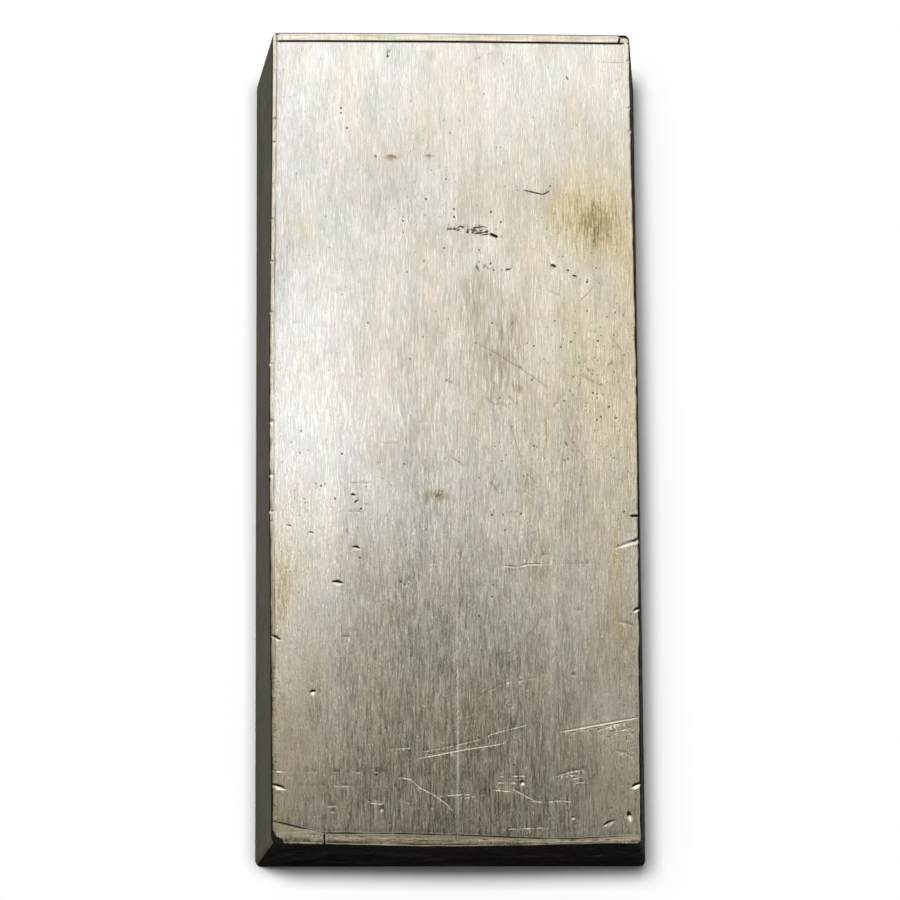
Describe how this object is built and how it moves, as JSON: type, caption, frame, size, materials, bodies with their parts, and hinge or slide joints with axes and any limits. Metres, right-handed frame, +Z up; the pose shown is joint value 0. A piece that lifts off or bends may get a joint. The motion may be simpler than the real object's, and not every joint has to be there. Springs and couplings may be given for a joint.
{
  "type": "metal ingot",
  "caption": "Rectangular cast silver bar with drafted long walls, bevelled edges and a brushed, scratched and tarnished face; it lies flat on its wider face and stacks.",
  "frame": {"origin": "under the middle of the bar, on the surface that it lies on", "axes": "+Y along the bar, towards its slightly wider end; +Z up through the brushed face; +X across the bar"},
  "size_m": [0.0728, 0.152, 0.0283],
  "materials": {
    "silver": "brushed along the length on the face, dark cast skin on the walls, worn and lightly tarnished"
  },
  "bodies": {
    "root": {"ingot": "silver"}
  },
  "joints": []
}
